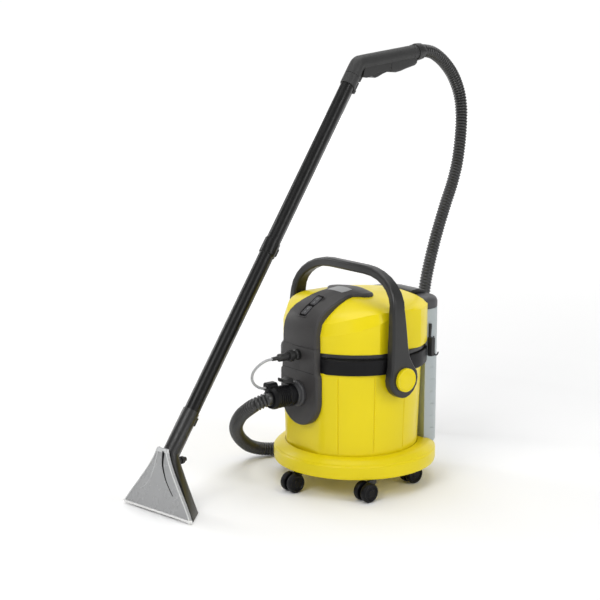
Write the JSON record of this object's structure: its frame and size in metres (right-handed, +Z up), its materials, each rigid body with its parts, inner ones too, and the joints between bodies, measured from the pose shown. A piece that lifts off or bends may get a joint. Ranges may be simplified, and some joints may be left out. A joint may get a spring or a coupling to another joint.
{
  "type": "spot extractor",
  "caption": "Spot extractor: round tub on castors with a motor head, bail handle, clean-water tank, suction hose, wand with trigger handle and a wide floor nozzle",
  "frame": {"origin": "On the floor, under the middle of the whole object without its free hoses", "axes": "+Z is up; -Y is the side of the suction inlet, the switches and the floor nozzle, +Y is the side of the clean-water tank; +X is the right-hand side seen from the front"},
  "size_m": [0.4701, 1.1272, 1.0108],
  "materials": {
    "yellow_plastic": "smooth moulded polypropylene with a soft sheen",
    "black_plastic": "fine-textured moulded plastic",
    "grey_plastic": "satin moulded plastic",
    "tank_plastic": "milky translucent blow-moulded plastic",
    "clear_plastic": "frosted clear plastic",
    "white_plastic": "white moulded plastic",
    "black_rubber": "soft black rubber",
    "steel": "plain machined metal",
    "hose_plastic": "ribbed flexible plastic hose",
    "filter_fleece": "pleated paper and fleece"
  },
  "bodies": {
    "machine": {"base_ring": "yellow_plastic", "container": "yellow_plastic", "rim_band": "black_plastic", "head_gasket": "black_rubber", "inlet_housing": "black_plastic", "inlet_port": "grey_plastic", "machine_cuff": "black_plastic", "coupling_socket": "black_plastic", "coupling_plug": "black_plastic", "bail_cap_left": "yellow_plastic", "bail_cap_right": "yellow_plastic", "tank_bracket_left": "black_plastic", "tank_bracket_right": "black_plastic", "suction_hose": "hose_plastic", "spray_tube": "clear_plastic", "handle_grip": "grey_plastic", "handle_under": "black_plastic", "spray_valve": "steel", "wand_tube_lower": "grey_plastic", "wand_tube_upper": "grey_plastic", "nozzle_body": "black_plastic", "nozzle_cover": "clear_plastic", "spray_jet": "black_plastic"},
    "head": {"head_shell": "yellow_plastic", "motor_plate": "black_plastic", "console_top": "black_plastic", "suction_motor": "grey_plastic", "water_pump": "grey_plastic", "float_cage": "black_plastic", "motor_filter": "filter_fleece", "cord_gland": "black_rubber"},
    "turbine": {"turbine": "steel"},
    "float_cup": {"float_cup": "white_plastic"},
    "switch_suction": {"switch_suction": "grey_plastic"},
    "switch_spray": {"switch_spray": "grey_plastic"},
    "bail": {"bail_handle": "black_plastic"},
    "cuff_lever": {"cuff_lever": "black_plastic"},
    "coupling_sleeve": {"coupling_sleeve": "black_plastic"},
    "tank": {"clean_tank": "tank_plastic", "tank_lid": "grey_plastic", "pickup_tube": "grey_plastic"},
    "fill_flap": {"fill_flap": "black_plastic"},
    "tank_clip_right": {"tank_clip_right": "black_plastic"},
    "tank_clip_left": {"tank_clip_left": "black_plastic"},
    "hose_collar": {"hose_collar": "black_plastic"},
    "trigger": {"trigger": "black_plastic"},
    "valve_stem": {"valve_stem": "steel"},
    "latch_lower": {"latch_lower": "black_plastic"},
    "latch_middle": {"latch_middle": "black_plastic"},
    "latch_upper": {"latch_upper": "black_plastic"},
    "castor_front": {"castor_fork_front": "black_plastic"},
    "wheels_front": {"castor_wheels_front": "black_plastic"},
    "castor_right": {"castor_fork_right": "black_plastic"},
    "wheels_right": {"castor_wheels_right": "black_plastic"},
    "castor_left": {"castor_fork_left": "black_plastic"},
    "wheels_left": {"castor_wheels_left": "black_plastic"},
    "castor_rear_right": {"castor_fork_rear_right": "black_plastic"},
    "wheels_rear_right": {"castor_wheels_rear_right": "black_plastic"},
    "castor_rear_left": {"castor_fork_rear_left": "black_plastic"},
    "wheels_rear_left": {"castor_wheels_rear_left": "black_plastic"}
  },
  "joints": [
    {"name": "head_lift", "type": "slide", "parent": "machine", "child": "head", "axis": [0, 0, 1], "range_m": [0, 0.025]},
    {"name": "turbine_spin", "type": "hinge", "parent": "head", "child": "turbine", "pos_m": [0.0131, 0.0719, 0.35], "axis": [0, 0, 1], "continuous": true},
    {"name": "float_rise", "type": "slide", "parent": "head", "child": "float_cup", "axis": [0, 0, 1], "range_m": [0, 0.034]},
    {"name": "switch_suction_rock", "type": "hinge", "parent": "head", "child": "switch_suction", "pos_m": [0.0131, -0.07352, 0.42238], "axis": [1, 0, 0], "range_deg": [-8, 8]},
    {"name": "switch_spray_rock", "type": "hinge", "parent": "head", "child": "switch_spray", "pos_m": [0.0131, -0.04606, 0.44069], "axis": [1, 0, 0], "range_deg": [-8, 8]},
    {"name": "bail_swing", "type": "hinge", "parent": "machine", "child": "bail", "pos_m": [0.0131, 0.0559, 0.278], "axis": [1, 0, 0], "range_deg": [0, 58]},
    {"name": "cuff_lever_lift", "type": "hinge", "parent": "machine", "child": "cuff_lever", "pos_m": [0.0131, -0.1291, 0.266], "axis": [-1, 0, 0], "range_deg": [0, 20], "stiffness_Nm_per_rad": 0.05, "springref_deg": -11.46},
    {"name": "coupling_release", "type": "slide", "parent": "machine", "child": "coupling_sleeve", "axis": [0, 1, 0], "range_m": [0, 0.005], "stiffness_N_per_m": 150, "springref_m": -0.002},
    {"name": "tank_lift", "type": "slide", "parent": "machine", "child": "tank", "axis": [0, 0, 1], "range_m": [0, 0.12]},
    {"name": "flap_open", "type": "hinge", "parent": "tank", "child": "fill_flap", "pos_m": [0.0131, 0.2519, 0.438], "axis": [-1, 0, 0], "range_deg": [0, 100]},
    {"name": "clip_right_open", "type": "hinge", "parent": "tank", "child": "tank_clip_right", "pos_m": [0.1257, 0.2086, 0.313], "axis": [0, 1, 0], "range_deg": [0, 35]},
    {"name": "clip_left_open", "type": "hinge", "parent": "tank", "child": "tank_clip_left", "pos_m": [-0.0995, 0.2086, 0.313], "axis": [0, -1, 0], "range_deg": [0, 35]},
    {"name": "swivel_front", "type": "hinge", "parent": "machine", "child": "castor_front", "pos_m": [0.0131, -0.0981, 0.0468], "axis": [0, 0, 1], "continuous": true},
    {"name": "roll_front", "type": "hinge", "parent": "castor_front", "child": "wheels_front", "pos_m": [0.0131, -0.1181, 0.0225], "axis": [1, 0, 0], "continuous": true},
    {"name": "swivel_right", "type": "hinge", "parent": "machine", "child": "castor_right", "pos_m": [0.1721, -0.0111, 0.0468], "axis": [0, 0, 1], "continuous": true},
    {"name": "roll_right", "type": "hinge", "parent": "castor_right", "child": "wheels_right", "pos_m": [0.1721, -0.0311, 0.0225], "axis": [1, 0, 0], "continuous": true},
    {"name": "swivel_left", "type": "hinge", "parent": "machine", "child": "castor_left", "pos_m": [-0.1459, -0.0111, 0.0468], "axis": [0, 0, 1], "continuous": true},
    {"name": "roll_left", "type": "hinge", "parent": "castor_left", "child": "wheels_left", "pos_m": [-0.1459, 0.0089, 0.0225], "axis": [1, 0, 0], "continuous": true},
    {"name": "swivel_rear_right", "type": "hinge", "parent": "machine", "child": "castor_rear_right", "pos_m": [0.1341, 0.1639, 0.0468], "axis": [0, 0, 1], "continuous": true},
    {"name": "roll_rear_right", "type": "hinge", "parent": "castor_rear_right", "child": "wheels_rear_right", "pos_m": [0.1341, 0.1439, 0.0225], "axis": [1, 0, 0], "continuous": true},
    {"name": "swivel_rear_left", "type": "hinge", "parent": "machine", "child": "castor_rear_left", "pos_m": [-0.1079, 0.1639, 0.0468], "axis": [0, 0, 1], "continuous": true},
    {"name": "roll_rear_left", "type": "hinge", "parent": "castor_rear_left", "child": "wheels_rear_left", "pos_m": [-0.1079, 0.1439, 0.0225], "axis": [1, 0, 0], "continuous": true},
    {"name": "collar_turn", "type": "hinge", "parent": "machine", "child": "hose_collar", "pos_m": [-0.18872, 0.43875, 0.9884], "axis": [-0.1472, 0.9851, 0.0885], "continuous": true},
    {"name": "trigger_pull", "type": "hinge", "parent": "machine", "child": "trigger", "pos_m": [-0.17123, 0.32173, 0.95279], "axis": [-0.989, -0.1478, 0], "range_deg": [0, 5], "stiffness_Nm_per_rad": 2, "springref_deg": -8.59},
    {"name": "stem_push", "type": "slide", "parent": "machine", "child": "valve_stem", "axis": [-0.1472, 0.9851, 0.0885], "range_m": [0, 0.002], "stiffness_N_per_m": 50, "springref_m": -0.001},
    {"name": "latch_lower_press", "type": "slide", "parent": "machine", "child": "latch_lower", "axis": [0.1178, -0.788, 0.6043], "range_m": [0, 0.0015], "stiffness_N_per_m": 200, "springref_m": -0.002},
    {"name": "latch_middle_press", "type": "slide", "parent": "machine", "child": "latch_middle", "axis": [0.1178, -0.788, 0.6043], "range_m": [0, 0.0015], "stiffness_N_per_m": 200, "springref_m": -0.002},
    {"name": "latch_upper_press", "type": "slide", "parent": "machine", "child": "latch_upper", "axis": [0.1178, -0.788, 0.6043], "range_m": [0, 0.0015], "stiffness_N_per_m": 200, "springref_m": -0.002}
  ],
  "couplings": [
    {"joint": "stem_push", "follows": "trigger_pull", "m_per_rad": 0.0229}
  ]
}
